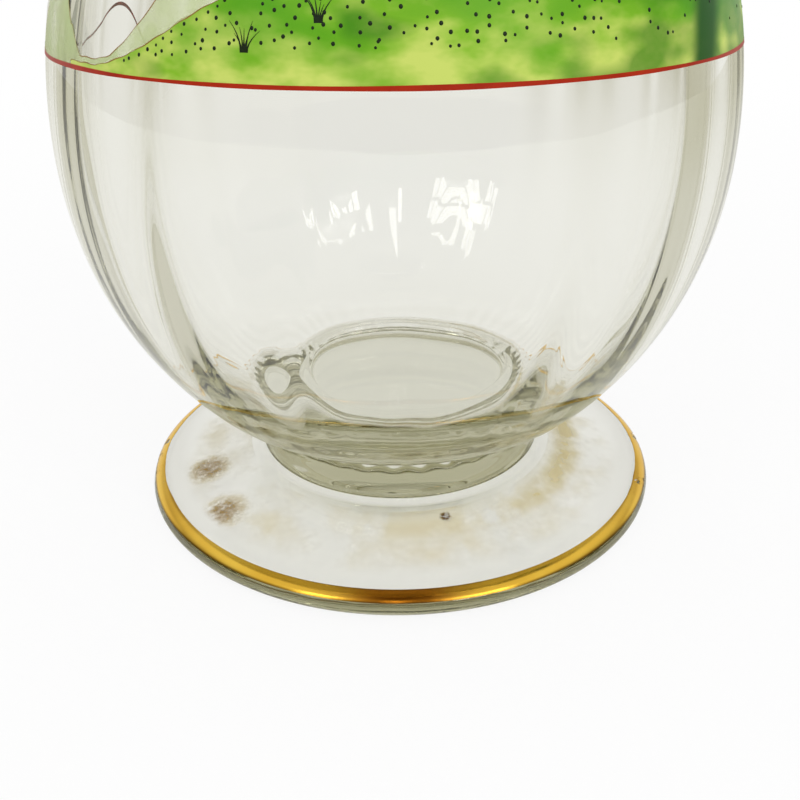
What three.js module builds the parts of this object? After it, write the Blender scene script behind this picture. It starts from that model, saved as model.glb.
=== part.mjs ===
import * as THREE from "three";

// A footed decanter of clear blown glass with soft vertical ribs, a fused collar and disc foot,
// fired enamel on the bowl, gilt edges, and a solid glass stopper ground to fit the neck.
// Millimetres, +Z up. The origin is the centre of the circle that the foot rests on.
// Azimuth 0 is the painted front, which faces -Y, and 90 is towards +X.

const decanterHeight = 198; // from the table to the lip

// Clearances
const joinGap = 0.3; // between glass pieces that are fused hot on the real decanter
const filmGap = 0.3; // under a fired enamel or gilt layer
const filmThickness = 0.25;
const stopperClearance = 0.3; // all round the ground peg and under its shoulder

// Ribs of the dip mould
const ribCount = 16;
const stepsPerRib = 4;
const firstRibAzimuth = 6;
const innerRibDepth = 0.7;
const outerRibDepth = 0.2;
const footRibDepth = 0.15;
const stopperRibDepth = 0.5;

// Foot
const footRadius = 44.6;
const rimBeadRadius = 2.1;
const rimBeadArc = 100; // degrees at which the bead runs into the foot's upper face
const restWidth = 2.4; // flat ring that stands on the table
const hollowHeight = 1.4; // the underside is hollow by this much inside the resting ring
const discEdgeThickness = 4;
const footCrownHeight = 7.7; // top of the foot under the collar
const footDish = 0.4; // how far the foot's upper face sags between its rim and its crown
const footGiltFrom = 40; // degrees round the rim bead, 0 outwards and 90 up
const footGiltTo = 98;

// Collar
const collarRadius = 24.2;
const collarHeight = 6.2;
const collarWaist = 0.2; // how far the side is drawn in at mid height
const edgeRounding = 0.6; // of fire-polished edges
const crownMargin = 1.2; // the foot's crown is flat this far past the collar

// Bowl
const bowlRadius = 50.9;
const lowerBowlHeight = 55; // semi-axis of the lower half's ellipse
const upperBowlHeight = 62; // semi-axis of the upper half's ellipse
const bowlDepth = 47; // from the flat base up to the widest place
const bowlRise = 50.5; // from the widest place up to the shoulder
const wall = 2.4;
const heelThickness = 7; // wall at the foot of the bowl
const wellRadius = 18.7; // sunk disc in the bottom of the bowl
const wellSlope = 1; // how far the well's side leans each way
const floorThickness = 3.5;

// Neck and mouth
const neckRadius = 15.2;
const shoulderSweep = 30; // height of the hollow curve from shoulder to neck
const neckSpread = 1.2; // how much wider the neck is just under the lip's flare
const flareHeight = 9; // of the neck's last curve out to the lip
const lipRadius = 22.6;
const lipEdgeRadius = 1.3;
const lipDrop = 2.6; // the lip's upper face falls this much towards the mouth
const mouthRadius = 12; // ground seat, at its top
const seatTaper = 0.05; // radius lost for each millimetre of depth
const seatLength = 25;
const seatRelief = 5; // height of the step from the seat out to the neck's inside
const lipGiltFrom = -60; // degrees round the lip's edge, 0 outwards and 90 up
const lipGiltTo = 90;

// Stopper
const ballRadius = 19;
const stopperShoulderRadius = 13.6;
const stopperShoulderHeight = 2.4;
const stopperShoulderSlope = 1; // how far the shoulder's upper edge is drawn in
const stopperWaistRadius = 8.6;
const stopperWaistHeight = 4;
const knobRadius = 4;
const knobSink = 37; // degrees of the knob's arc below its middle before it meets the ball
const pegReach = 28; // length of the peg below the shoulder
const stopperGiltWidth = 1.6;
const pegChamfer = 1;

// Enamel
const redLineHeight = 13.9; // centre of the line above the bowl's widest place
const redLineWidth = 0.7;
const enamelStartGap = 0.3; // the painted fields start this far above the red line
const thinnestField = 0.6; // height of a painted field where it runs out
const meadowFrom = -52;
const meadowTo = 134;
const meadowHeight = 17;
const meadowRise = 64; // degrees over which its left end rises
const meadowFall = 44; // degrees over which its right end falls
const meadowRoll = 0.1; // share of its height by which its upper edge rolls
const hillFrom = -76;
const hillTo = 74;
const nearHill = { centre: -60, reach: 13, height: 12 };
const middleHill = { centre: -14, reach: 32, height: 10 };
const farHill = { centre: 44, reach: 30, height: 7 };
const hills = [nearHill, middleHill, farHill];

// Derived places
const collarBase = footCrownHeight + joinGap;
const collarTop = collarBase + collarHeight;
const bowlBase = collarTop + joinGap;
const equator = bowlBase + bowlDepth;
const shoulder = equator + bowlRise;
const neckWaist = shoulder + shoulderSweep;
const lipHeight = decanterHeight;
const neckHeight = lipHeight - neckWaist; // from the narrowest place up to the lip
const beadCentre = footRadius - rimBeadRadius;
const lipCentre = lipRadius - lipEdgeRadius;
const ribStep = 360 / ribCount;
const turnSteps = ribCount * stepsPerRib;

const radians = THREE.MathUtils.degToRad;
const point = (r, z, rib = 0, lift = 0) => ({ r, z, rib, lift });

// Height of a rib at an azimuth in radians: 1 on its ridge, 0 between two ridges.
function ridge(azimuth) {
  const wave = 0.5 + 0.5 * Math.cos(ribCount * (azimuth - radians(firstRibAzimuth)));
  return wave * wave;
}

// Turns a profile round the Z axis. Each point says how much a rib moves it outwards and upwards.
function turn(profile) {
  const outline = profile.map((p) => new THREE.Vector2(p.r, p.z));
  const geometry = new THREE.LatheGeometry(outline, turnSteps, radians(firstRibAzimuth));
  geometry.rotateX(Math.PI / 2);
  const position = geometry.getAttribute("position");
  for (let i = 0; i < position.count; i++) {
    const { r, rib, lift } = profile[i % profile.length];
    if (r === 0) continue;
    const azimuth = Math.atan2(position.getX(i), -position.getY(i));
    const height = ridge(azimuth);
    const scale = (r + rib * height) / r;
    position.setX(i, position.getX(i) * scale);
    position.setY(i, position.getY(i) * scale);
    position.setZ(i, position.getZ(i) + lift * height);
  }
  return geometry;
}

// Points on an arc of a circle in the profile plane, angles in degrees from outwards to up.
function arc(r, z, radius, from, to, steps, rib = 0) {
  return Array.from({ length: steps + 1 }, (_, i) => {
    const angle = radians(from + ((to - from) * i) / steps);
    return point(r + radius * Math.cos(angle), z + radius * Math.sin(angle), rib);
  });
}

// Points on a cubic curve through two ends and two handles, each [r, z].
function sweep(ends, steps, rib) {
  const curve = new THREE.CubicBezierCurve(...ends.map(([r, z]) => new THREE.Vector2(r, z)));
  return curve.getPoints(steps).map((p) => point(p.x, p.y, rib));
}

// A ring of film over part of a round edge whose centre is at r, z.
function edgeFilm(r, z, radius, from, to, steps) {
  const inner = arc(r, z, radius + filmGap, from, to, steps);
  const outer = arc(r, z, radius + filmGap + filmThickness, from, to, steps);
  return turn([...outer, ...inner.reverse(), outer[0]]);
}

// The bowl's outside as an ellipse for each half: t in degrees, 0 at the widest place.
function bowlPoint(t) {
  const height = t < 0 ? lowerBowlHeight : upperBowlHeight;
  const r = bowlRadius * Math.cos(radians(t));
  const z = equator + height * Math.sin(radians(t));
  return { r, z, height };
}

const bowlFootAngle = -THREE.MathUtils.radToDeg(Math.asin(bowlDepth / lowerBowlHeight));
const shoulderAngle = THREE.MathUtils.radToDeg(Math.asin(bowlRise / upperBowlHeight));

// The bowl's inside: the outside moved in by the wall, which grows towards the heel.
function bowlInsidePoint(t) {
  const { r, z, height } = bowlPoint(t);
  const low = t < 0 ? t / bowlFootAngle : 0;
  const thickness = wall + (heelThickness - wall) * low * low;
  const normal = new THREE.Vector2(r / bowlRadius ** 2, (z - equator) / height ** 2).normalize();
  return point(r - normal.x * thickness, z - normal.y * thickness, -innerRibDepth);
}

// Radius of the bowl's outside at a height, without its ribs.
function bowlRadiusAt(z) {
  const height = z < equator ? lowerBowlHeight : upperBowlHeight;
  return bowlRadius * Math.sqrt(1 - ((z - equator) / height) ** 2);
}

function spread(from, to, steps, make) {
  return Array.from({ length: steps + 1 }, (_, i) => make(from + ((to - from) * i) / steps));
}

// The disc foot: hollow below, standing on a flat ring, with a round bead at its rim.
function footGeometry() {
  const restInside = beadCentre - restWidth;
  const crownRadius = collarRadius + crownMargin;
  const bead = arc(beadCentre, rimBeadRadius, rimBeadRadius, -90, rimBeadArc, 7);
  return turn([
    point(0, hollowHeight),
    point(crownRadius * 0.5, hollowHeight, 0, footRibDepth),
    point(restInside - hollowHeight, hollowHeight * 0.8, 0, footRibDepth),
    point(restInside, 0),
    ...bead,
    point(beadCentre - rimBeadRadius, discEdgeThickness),
    point((beadCentre + crownRadius) / 2, (discEdgeThickness + footCrownHeight) / 2 - footDish),
    point(crownRadius, footCrownHeight),
    point(0, footCrownHeight),
  ]);
}

// The collar: a thick wafer of glass with a softly waisted side.
function collarGeometry() {
  const edge = edgeRounding;
  return turn([
    point(0, collarBase),
    point(collarRadius - edge, collarBase),
    point(collarRadius, collarBase + edge),
    point(collarRadius - collarWaist, collarBase + collarHeight / 2),
    point(collarRadius, collarTop - edge),
    point(collarRadius - edge, collarTop),
    point(0, collarTop),
  ]);
}

// The outline of the neck from the shoulder up to the lip's edge, moved in by some thickness.
function neckCurves(inset, shoulderPoint) {
  const slope = new THREE.Vector2(
    -bowlRadius * Math.sin(radians(shoulderAngle)),
    upperBowlHeight * Math.cos(radians(shoulderAngle)),
  ).normalize();
  const reach = shoulderSweep * 0.45;
  const waist = [neckRadius - inset, neckWaist];
  return {
    hollow: [
      [shoulderPoint.r, shoulderPoint.z],
      [shoulderPoint.r + slope.x * reach, shoulderPoint.z + slope.y * reach],
      [waist[0], neckWaist - reach],
      waist,
    ],
    flare: [
      waist,
      [waist[0], neckWaist + neckHeight / 2],
      [neckRadius + neckSpread, lipHeight - flareHeight],
      [lipRadius - lipEdgeRadius, lipHeight - lipEdgeRadius * 2],
    ],
  };
}

// The blown vessel: bowl, shoulder, neck and lip in one piece, open at the mouth.
function vesselGeometry() {
  const outside = neckCurves(0, bowlPoint(shoulderAngle));
  const inside = neckCurves(wall, bowlInsidePoint(shoulderAngle));
  const seatTop = lipHeight - lipDrop;
  const seatBottom = seatTop - seatLength;
  const seatBottomRadius = mouthRadius - seatTaper * seatLength;
  const innerNeck = neckRadius - wall;
  const floor = bowlBase + floorThickness;
  const heel = bowlInsidePoint(bowlFootAngle);
  const outer = [
    point(0, bowlBase),
    ...spread(bowlFootAngle, 0, 7, (t) => ({ ...bowlPoint(t), rib: outerRibDepth, lift: 0 })),
    ...spread(0, shoulderAngle, 6, (t) => ({ ...bowlPoint(t), rib: outerRibDepth, lift: 0 })).slice(1),
    ...sweep(outside.hollow, 5, outerRibDepth).slice(1),
    ...sweep(outside.flare, 6, outerRibDepth).slice(1, -1),
  ];
  const lip = arc(lipCentre, lipHeight - lipEdgeRadius, lipEdgeRadius, -90, 90, 4);
  const inner = [
    point(mouthRadius + lipDrop, lipHeight - lipDrop * 0.7),
    point(mouthRadius, seatTop),
    point(seatBottomRadius, seatBottom),
    point(innerNeck, seatBottom - seatRelief, -innerRibDepth),
    ...sweep(inside.hollow, 5, -innerRibDepth).reverse(),
    ...spread(shoulderAngle, 0, 6, bowlInsidePoint).slice(1),
    ...spread(0, bowlFootAngle, 7, bowlInsidePoint).slice(1),
    point(wellRadius + wellSlope, heel.z),
    point(wellRadius - wellSlope, floor),
    point(0, floor),
  ];
  return turn([...outer, ...lip, ...inner]);
}

// The stopper: a ribbed solid ball and knob over a shoulder, with a tapered ground peg.
function stopperGeometry() {
  const seatTop = lipHeight - lipDrop;
  const under = seatTop + lipDrop * 0.5 + stopperClearance;
  const pegTop = mouthRadius - stopperClearance;
  const pegBottom = under - pegReach;
  const pegRadiusAt = (z) => pegTop - seatTaper * Math.max(seatTop - z, 0);
  const shoulderTop = under + stopperShoulderHeight;
  const waistTop = shoulderTop + stopperWaistHeight;
  const ballCentre = waistTop + Math.sqrt(ballRadius ** 2 - stopperWaistRadius ** 2);
  const waistAngle = -THREE.MathUtils.radToDeg(Math.acos(stopperWaistRadius / ballRadius));
  const knobAngle = THREE.MathUtils.radToDeg(Math.acos((knobRadius * 0.8) / ballRadius));
  const knobBase = ballCentre + ballRadius * Math.sin(radians(knobAngle));
  const ball = arc(0, ballCentre, ballRadius, waistAngle, knobAngle, 9);
  const body = [
    point(0, pegBottom),
    point(pegRadiusAt(pegBottom) - pegChamfer, pegBottom),
    point(pegRadiusAt(pegBottom), pegBottom + pegChamfer),
    point(pegTop, seatTop),
    point(pegTop, under),
    point(stopperShoulderRadius - edgeRounding, under),
    point(stopperShoulderRadius, under + edgeRounding),
    point(stopperShoulderRadius - stopperShoulderSlope, shoulderTop),
    point(stopperWaistRadius, (shoulderTop + waistTop) / 2),
    ...ball.map((p) => point(p.r, p.z, (stopperRibDepth * p.r) / ballRadius)),
    ...arc(0, knobBase + knobRadius * 0.6, knobRadius, -knobSink, 90, 5).slice(1, -1),
    point(0, knobBase + knobRadius * 1.6),
  ];
  return { geometry: turn(body), ballCentre };
}

// A belt of film round the ball's widest place, which follows its ribs.
function stopperGiltGeometry(ballCentre) {
  const half = THREE.MathUtils.radToDeg(stopperGiltWidth / 2 / ballRadius);
  const inner = arc(0, ballCentre, ballRadius + filmGap, -half, half, 2, stopperRibDepth);
  const outer = arc(0, ballCentre, ballRadius + filmGap + filmThickness, -half, half, 2, stopperRibDepth);
  return turn([...outer, ...inner.reverse(), outer[0]]);
}

// A belt of enamel round the bowl between two heights.
function beltGeometry(low, high) {
  const side = (depth) =>
    [low, high].map((z) => point(bowlRadiusAt(z) + filmGap + depth, z, outerRibDepth));
  const outer = side(filmThickness);
  return turn([...outer, ...side(0).reverse(), outer[0]]);
}

// Azimuths of a field's columns: its ends, and the turned steps and the meadow's ends between them.
function columnAzimuths(from, to) {
  const stepAngle = ribStep / stepsPerRib;
  const first = Math.ceil((from - firstRibAzimuth) / stepAngle);
  const last = Math.floor((to - firstRibAzimuth) / stepAngle);
  const steps = spread(first, last, last - first, (k) => firstRibAzimuth + k * stepAngle);
  const wanted = [from, ...steps, meadowFrom, meadowTo, to].filter((a) => a >= from && a <= to);
  wanted.sort((a, b) => a - b);
  return wanted.filter((a, i) => i === 0 || a - wanted[i - 1] > 0.01);
}

// A painted field on the bowl: a box bent to the bowl between two azimuths in degrees, from
// the height that low gives for an azimuth up to the height that skyline gives.
function fieldGeometry(from, to, rows, low, skyline) {
  const azimuths = columnAzimuths(from, to);
  const columns = azimuths.length - 1;
  const geometry = new THREE.BoxGeometry(1, 1, 1, columns, rows, 1);
  const position = geometry.getAttribute("position");
  for (let i = 0; i < position.count; i++) {
    const azimuth = azimuths[Math.round((position.getX(i) + 0.5) * columns)];
    const up = position.getY(i) + 0.5;
    const out = position.getZ(i) + 0.5;
    const z = THREE.MathUtils.lerp(low(azimuth), skyline(azimuth), up);
    const rib = outerRibDepth * ridge(radians(azimuth));
    const r = bowlRadiusAt(z) + rib + filmGap + filmThickness * out;
    position.setXYZ(i, r * Math.sin(radians(azimuth)), -r * Math.cos(radians(azimuth)), z);
  }
  return geometry;
}

// The green meadow runs out on the left of the front and goes round past the right side.
const meadowBase = equator + redLineHeight + redLineWidth / 2 + enamelStartGap;

function meadowSkyline(azimuth) {
  const rise = THREE.MathUtils.smoothstep(azimuth, meadowFrom, meadowFrom + meadowRise);
  const fall = 1 - THREE.MathUtils.smoothstep(azimuth, meadowTo - meadowFall, meadowTo);
  const roll = 1 + meadowRoll * Math.sin((azimuth * turnSteps) / 360);
  return meadowBase + Math.max(meadowHeight * Math.min(rise, fall) * roll, thinnestField);
}

// The pale far hills stand on the red line left of the meadow and behind its upper edge.
function hillBase(azimuth) {
  return azimuth < meadowFrom ? meadowBase : meadowSkyline(azimuth) + enamelStartGap;
}

function hillSkyline(azimuth) {
  const heights = hills.map(({ centre, reach, height }) => {
    const away = Math.min(Math.abs(azimuth - centre) / reach, 1);
    return height * (0.5 + 0.5 * Math.cos(Math.PI * away));
  });
  return hillBase(azimuth) + Math.max(...heights, thinnestField);
}

const glass = { color: 0xe6e8df, roughness: 0.04, metalness: 0, transparent: true, opacity: 0.45 };
const gilt = { color: 0xc8962e, roughness: 0.28, metalness: 1 };

const decanter = new THREE.Group();

function add(name, geometry, look) {
  const mesh = new THREE.Mesh(geometry, new THREE.MeshStandardMaterial(look));
  mesh.name = name;
  decanter.add(mesh);
}

const redLineBottom = equator + redLineHeight - redLineWidth / 2;
const footGilding = edgeFilm(beadCentre, rimBeadRadius, rimBeadRadius, footGiltFrom, footGiltTo, 4);
const lipMiddle = lipHeight - lipEdgeRadius;
const lipGilding = edgeFilm(lipCentre, lipMiddle, lipEdgeRadius, lipGiltFrom, lipGiltTo, 3);
const redLine = beltGeometry(redLineBottom, redLineBottom + redLineWidth);
const meadow = fieldGeometry(meadowFrom, meadowTo, 4, () => meadowBase, meadowSkyline);
const farHills = fieldGeometry(hillFrom, hillTo, 3, hillBase, hillSkyline);
const stopper = stopperGeometry();

add("foot", footGeometry(), glass);
add("foot_gilding", footGilding, gilt);
add("collar", collarGeometry(), glass);
add("vessel", vesselGeometry(), glass);
add("lip_gilding", lipGilding, gilt);
add("red_line", redLine, { color: 0xac3318, roughness: 0.35 });
add("meadow_enamel", meadow, { color: 0x8fbf35, roughness: 0.3 });
add("hill_enamel", farHills, { color: 0xc3cf96, roughness: 0.35 });
add("stopper", stopper.geometry, glass);
add("stopper_gilding", stopperGiltGeometry(stopper.ballCentre), gilt);

export default decanter;
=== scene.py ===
# %% [markdown]
# # A footed glass decanter with an enamelled meadow
#
# The real decanter is four pieces of clear glass: a bowl blown into a ribbed mould, a collar and a
# disc foot that were put on hot, and a loose ground stopper. Fired on top are a red line, a green
# meadow, pale hills and gilt edges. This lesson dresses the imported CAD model, piece by piece, in the
# same frame and in metres, and ends with a white studio.

# %% Load the frame
from math import acos, asin, cos, degrees, hypot, pi, radians, sin, sqrt

import bpy
import numpy as np
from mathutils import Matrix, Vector


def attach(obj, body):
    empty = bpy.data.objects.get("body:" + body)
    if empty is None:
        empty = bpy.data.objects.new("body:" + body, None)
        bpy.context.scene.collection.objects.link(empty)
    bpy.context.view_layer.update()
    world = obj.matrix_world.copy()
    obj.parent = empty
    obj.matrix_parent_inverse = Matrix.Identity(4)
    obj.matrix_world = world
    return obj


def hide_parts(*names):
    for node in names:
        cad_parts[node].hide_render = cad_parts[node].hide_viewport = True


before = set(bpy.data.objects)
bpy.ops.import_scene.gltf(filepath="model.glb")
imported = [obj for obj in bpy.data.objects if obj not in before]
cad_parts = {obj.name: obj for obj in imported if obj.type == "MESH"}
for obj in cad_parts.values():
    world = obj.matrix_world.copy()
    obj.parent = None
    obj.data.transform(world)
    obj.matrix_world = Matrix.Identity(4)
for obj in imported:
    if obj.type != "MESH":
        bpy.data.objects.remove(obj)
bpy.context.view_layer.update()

MM = 0.001

# %% [markdown]
# Colours are easiest to pick as the hex values that a picture shows, but Blender calculates with
# linear light. One function turns the one into the other, and one small function adds a node. The
# settings that many nodes share get a plain word each, such as smooth for a soft step.

# %% Colour and node helpers
def linear(hex_colour):
    """A hex colour such as "C8962E" as linear RGBA."""
    parts = [int(hex_colour[i:i + 2], 16) / 255 for i in (0, 2, 4)]
    return tuple(c / 12.92 if c <= 0.04045 else ((c + 0.055) / 1.055) ** 2.4 for c in parts) + (1.0,)


def add(tree, kind, settings=None, **links):
    """Adds a node. Settings are its properties, and links are its inputs: a value, socket or node.

    An input goes by its name, with _ for a blank, or by its number, such as _6. A node that is
    linked gives the first output that it has in use.
    """
    node = tree.nodes.new("ShaderNode" + kind)
    for name, value in (settings or {}).items():
        setattr(node, name, value)
    for name, value in links.items():
        socket = node.inputs[int(name[1:])] if name[1:].isdigit() else node.inputs[name.replace("_", " ")]
        if isinstance(value, bpy.types.Node):
            value = next(output for output in value.outputs if output.enabled)
        if isinstance(value, bpy.types.NodeSocket):
            tree.links.new(value, socket)
        else:
            socket.default_value = value
    return node


def new_material(name):
    """An empty node material, its tree and the place on the decanter. Its output node is added last."""
    material = bpy.data.materials.new(name)
    material.use_nodes = True
    tree = material.node_tree
    tree.nodes.clear()
    return material, tree, add(tree, "TexCoord").outputs["Object"]


def scene_object(name, data):
    """A new object of the scene."""
    made = bpy.data.objects.new(name, data)
    bpy.context.scene.collection.objects.link(made)
    return made


def cells(size):
    """The scale of a noise texture whose patches have a size in millimetres."""
    return 1 / (size * MM)


smooth, colours = {"interpolation_type": "SMOOTHSTEP"}, {"data_type": "RGBA"}
plus, minus, times = {"operation": "ADD"}, {"operation": "SUBTRACT"}, {"operation": "MULTIPLY"}
larger, smaller, size_only = {"operation": "MAXIMUM"}, {"operation": "MINIMUM"}, {"operation": "ABSOLUTE"}
print("gold hex in linear light:", [round(c, 3) for c in linear("C8962E")])

# %% [markdown]
# The camera stands where the picture was taken from: close, a little above the bowl, and tilted
# down. Its place was fitted to the ellipse of the foot and to the painted line, so the render lines
# up with the picture. The frame cuts off the shoulder, the neck and the stopper, as the picture does.

# %% Camera
camera_data = bpy.data.cameras.new("camera")
camera = scene_object("camera", camera_data)
camera_data.sensor_width = 36
camera_data.lens = 42.2
camera_data.clip_start = 0.005
camera.location = Vector((0.1, -149.5, 92.1)) * MM
tilt_down, roll = radians(27.85), radians(-0.8)
camera.rotation_euler = (pi / 2 - tilt_down, 0, 0)
camera.rotation_euler.rotate_axis("Z", roll)
bpy.context.scene.camera = camera
print("camera height in mm:", round(camera.location.z / MM, 1))

# %% [markdown]
# The sizes below are those of the drawing, in millimetres. The real pieces are turned shapes, so
# each outline is a list of points in the plane of radius and height.

# %% Sizes of the drawing
foot_radius, bead_radius = 44.5, 2.1
rest_radius, rest_width, hollow_height, hollow_run = 40.6, 1.2, 1.4, 16.0
crown_height, crown_margin = 7.7, 1.2
collar_radius, collar_height = 24.1, 5.5
join_gap, crease_depth, crease_gap = 0.3, 2.6, 0.28
bowl_radius, lower_height, upper_height = 50.75, 55.0, 62.0
bowl_above_crown, bowl_depth, bowl_rise = 6.8, 47.0, 50.5
wall, heel_wall, heel_power = 2.4, 6.0, 3.5
heel_start, heel_edge_radius, heel_edge_height = -48.0, 24.6, 16.8
well_radius, well_slope, floor_thickness = 18.7, 1.0, 3.5
neck_radius, shoulder_sweep, neck_height = 15.2, 30.0, 56.0
neck_spread, flare_height = 1.2, 9.0
lip_radius, lip_edge, lip_drop = 22.6, 1.3, 2.6
mouth_radius, seat_taper, seat_length, seat_relief = 12.0, 0.05, 25.0, 5.0

collar_base = crown_height + join_gap
collar_top = collar_base + collar_height
bowl_base = crown_height + bowl_above_crown
equator = bowl_base + bowl_depth
shoulder = equator + bowl_rise
neck_waist = shoulder + shoulder_sweep
lip_height = neck_waist + neck_height
bead_centre = foot_radius - bead_radius
lip_centre = lip_radius - lip_edge
crown_radius = collar_radius + crown_margin

# %% [markdown]
# The ribs come from a mould with sixteen grooves: the hot bubble was pressed into it, then blown out,
# so the outside is nearly smooth and the ribs remain on the inside as soft optic waves. They are
# stronger at the sides, and turn a few degrees on their way up, as the pipe was twisted. The foot was
# pressed flat with a tool that left about thirty faint spokes, and the mould's bottom left fine
# flutes where the bowl meets the collar. Slow waves on everything stand for the slight unevenness of
# hand work. Waves could be painted on with bump, but then the glass would not bend light as these do.

# %% Waves of the hand-made surface
rib_count, first_rib, rib_twist = 16, radians(6), radians(0.07)
spoke_count, flute_count = 30, 45
inner_rib, outer_rib = 0.75, 0.08
foot_spoke, heel_flute, faint_flute, crease_wave = 0.03, 0.09, 0.03, 0.22
spokes_from, spokes_full, spokes_until = 25, 34, 36
outer_ribs_grow, inner_ribs_grow = (20, 34), (22, 34)
flutes_fade, faint_flutes_fade, heel_height = (21, 17.5), (36, 22), 16


def ridge(azimuth, height):
    """0 between two ribs, and on a rib's ridge from 0.2 in front and behind to 1 at the sides."""
    strength = 1 - 0.8 * np.cos(azimuth) ** 8
    turned_by = first_rib + rib_twist * (height - equator)
    return strength * (0.5 + 0.5 * np.cos(rib_count * (azimuth - turned_by))) ** 2


def spoke(azimuth):
    """The foot's spokes, between -1 and 1 and uneven in strength."""
    strength = 0.65 + 0.35 * np.sin(3 * azimuth + 1)
    return np.sin(spoke_count * azimuth + 1.5 * np.sin(2 * azimuth)) * strength


def flute(azimuth):
    """The flutes low on the bowl, between -1 and 1, with ridges sharper than a sine's."""
    return np.arcsin(0.95 * np.sin(flute_count * azimuth + 0.8 * np.sin(3 * azimuth))) / 1.25


def unevenness(azimuth, r, height):
    """How far hand work moved a surface out, in millimetres, the same after a full turn."""
    slow = np.sin(azimuth + 0.7) * np.cos(2 * azimuth - height / 31 + 0.7)
    return 0.03 * np.minimum(r / 20, 1) * (slow + np.sin(3 * azimuth + height / 17 + 1.4))


print("rib spacing at the equator in mm:", round(2 * pi * bowl_radius / rib_count, 1))

# %% [markdown]
# Small helpers give points and arcs of an outline. A point says how much a rib, a spoke or a flute
# moves it: ribs and flutes move it outwards and spokes move it up. An arc is named by its centre, its
# radius and two angles, where 0 degrees points outwards and 90 points up.

# %% Outline helpers
def point(r, z, rib=0.0, spoke_share=0.0, flute_share=0.0):
    return r, z, rib, spoke_share, flute_share


def fade(value, start, end):
    """A smooth change from 0 at the start to 1 at the end."""
    share = min(max((value - start) / (end - start), 0), 1)
    return share * share * (3 - 2 * share)


def arc(r, z, radius, start, end, steps, rib=0.0):
    angles = np.radians(np.linspace(start, end, steps + 1))
    return [point(r + radius * cos(a), z + radius * sin(a), rib) for a in angles]


def curve(ends, steps, rib=0.0, last_rib=None):
    """Points on a cubic curve through the first and last of four (radius, height) pairs."""
    a, b, c, d = (np.array(p, float) for p in ends)
    rib_change = 0 if last_rib is None else last_rib - rib
    made = []
    for t in np.linspace(0, 1, steps + 1):
        at = a * (1 - t) ** 3 + 3 * b * t * (1 - t) ** 2 + 3 * c * t * t * (1 - t) + d * t ** 3
        made.append(point(at[0], at[1], rib + rib_change * t))
    return made


def bowl_point(t):
    """Radius and height of the bowl's outside at an angle in degrees, 0 at its widest place."""
    half = lower_height if t < 0 else upper_height
    return bowl_radius * cos(radians(t)), equator + half * sin(radians(t))


def bowl_slope(t):
    """The direction in which the bowl's outside runs up at an angle in degrees."""
    half = lower_height if t < 0 else upper_height
    return Vector((-bowl_radius * sin(radians(t)), half * cos(radians(t)))).normalized()


foot_angle = -degrees(asin(bowl_depth / lower_height))
shoulder_angle = degrees(asin(bowl_rise / upper_height))


def bowl_inside(t):
    """The bowl's inside: the outside moved in by a wall that grows towards the heel."""
    r, z = bowl_point(t)
    half = lower_height if t < 0 else upper_height
    towards_heel = t / foot_angle if t < 0 else 0
    thickness = wall + (heel_wall - wall) * towards_heel ** heel_power
    normal = Vector((r / bowl_radius ** 2, (z - equator) / half ** 2)).normalized()
    return r - normal.x * thickness, z - normal.y * thickness


print("bowl runs from", round(foot_angle, 1), "to", round(shoulder_angle, 1), "degrees")

# %% [markdown]
# A turned shape is its outline swept once round the Z axis. The finest waves are 8 degrees long, so
# 720 steps give each of them 16 faces, enough for a clean refraction.

# %% The turning function
turn_steps = 720


def mesh_object(name, vertices, faces, smooth_angle=40):
    """A smooth-shaded object from vertices in millimetres."""
    mesh = bpy.data.meshes.new(name)
    mesh.from_pydata([tuple(v) for v in np.asarray(vertices) * MM], [], faces)
    mesh.validate()
    mesh.shade_smooth()
    mesh.set_sharp_from_angle(angle=radians(smooth_angle))
    return scene_object(name, mesh)


def turned(name, profile, closed=False):
    """Turns an outline round the Z axis. Ends on the axis become one vertex."""
    azimuth = np.arange(turn_steps) * 2 * pi / turn_steps
    vertices, rings = [], []
    for r, z, rib, spoke_share, flute_share in profile:
        if r == 0:
            rings.append([len(vertices)])
            vertices.append((0, 0, z))
            continue
        radius = r + rib * ridge(azimuth, z) + flute_share * flute(azimuth) + unevenness(azimuth, r, z)
        height = z + spoke_share * spoke(azimuth)
        rings.append(range(len(vertices), len(vertices) + turn_steps))
        vertices.extend(np.stack([radius * np.sin(azimuth), -radius * np.cos(azimuth), height], 1))
    if closed:
        rings.append(rings[0])
    faces = []
    for low, high in zip(rings, rings[1:]):
        for i in range(turn_steps):
            j = (i + 1) % turn_steps
            if len(low) == 1:
                faces.append((low[0], high[j], high[i]))
            elif len(high) == 1:
                faces.append((low[i], low[j], high[0]))
            else:
                faces.append((low[i], low[j], high[j], high[i]))
    return mesh_object(name, vertices, faces)


print("degrees for each step:", 360 / turn_steps)

# %% [markdown]
# Foot, collar and bowl are three gathers of glass that were stuck together at orange heat. No air is
# left between them, and light passes from one to the next without a reflection. Three separate
# solids with a gap would show bright false mirrors there, so the look is one closed mesh that stands
# for the three CAD solids. Only a narrow crease stays open round each joint, and it draws the dark
# and bright lines above and below the collar.

# %% Outline of the foot and the collar
def foot_top(share):
    """Height of the foot's upper face, from 0 at the bead to 1 at the crown."""
    rim_height = 2 * bead_radius - 0.12
    rise = (crown_height - rim_height) * share ** 1.35
    return rim_height + rise - 0.16 * sin(pi * min(share * 3, 1))


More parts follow.
